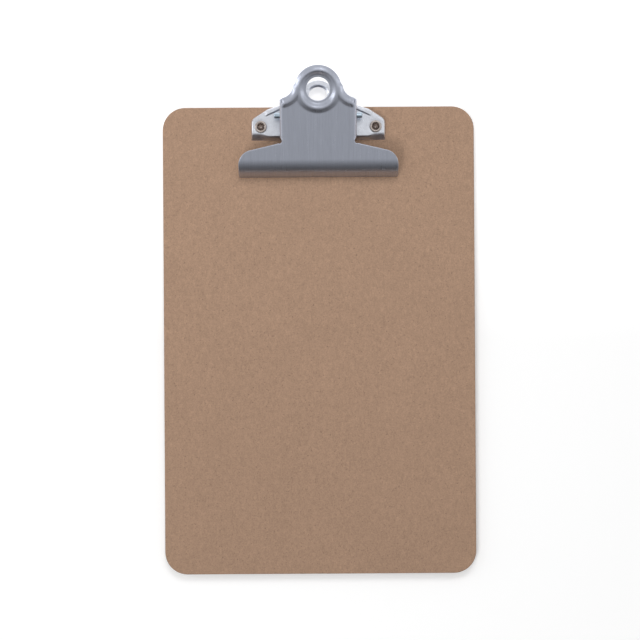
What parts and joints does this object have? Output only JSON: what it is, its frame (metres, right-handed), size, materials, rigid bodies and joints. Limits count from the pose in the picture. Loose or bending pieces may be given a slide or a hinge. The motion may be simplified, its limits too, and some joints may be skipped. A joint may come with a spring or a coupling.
{
  "type": "clipboard",
  "caption": "Flat hardboard writing panel with rounded corners and a riveted, sprung steel clip at the top edge that holds sheets of paper and has a hanging hole in its handle.",
  "frame": {"origin": "centre of the board's back face", "axes": "+X across the board, +Y up the board towards the clip, +Z out of the front face"},
  "size_m": [0.1524, 0.246, 0.0256],
  "materials": {
    "hardboard": "smooth brown hardboard with fine fibres",
    "satin_steel": "satin brushed",
    "bright_steel": "bright zinc plated",
    "pin_steel": "bright drawn",
    "spring_steel": "dark oiled wire",
    "rivet_steel": "bright, slightly warm plating"
  },
  "bodies": {
    "board": {"board": "hardboard", "base_plate": "bright_steel", "hinge_pin": "pin_steel", "torsion_spring": "spring_steel", "rivet_left": "rivet_steel", "rivet_right": "rivet_steel"},
    "lever": {"clamp_lever": "satin_steel"}
  },
  "joints": [
    {"name": "lever_hinge", "type": "hinge", "parent": "board", "child": "lever", "pos_m": [0, 0.1091, 0.0112], "axis": [-1, 0, 0], "range_deg": [0, 35], "stiffness_Nm_per_rad": 0.35, "springref_deg": -57.3, "deforming": ["torsion_spring"]}
  ]
}
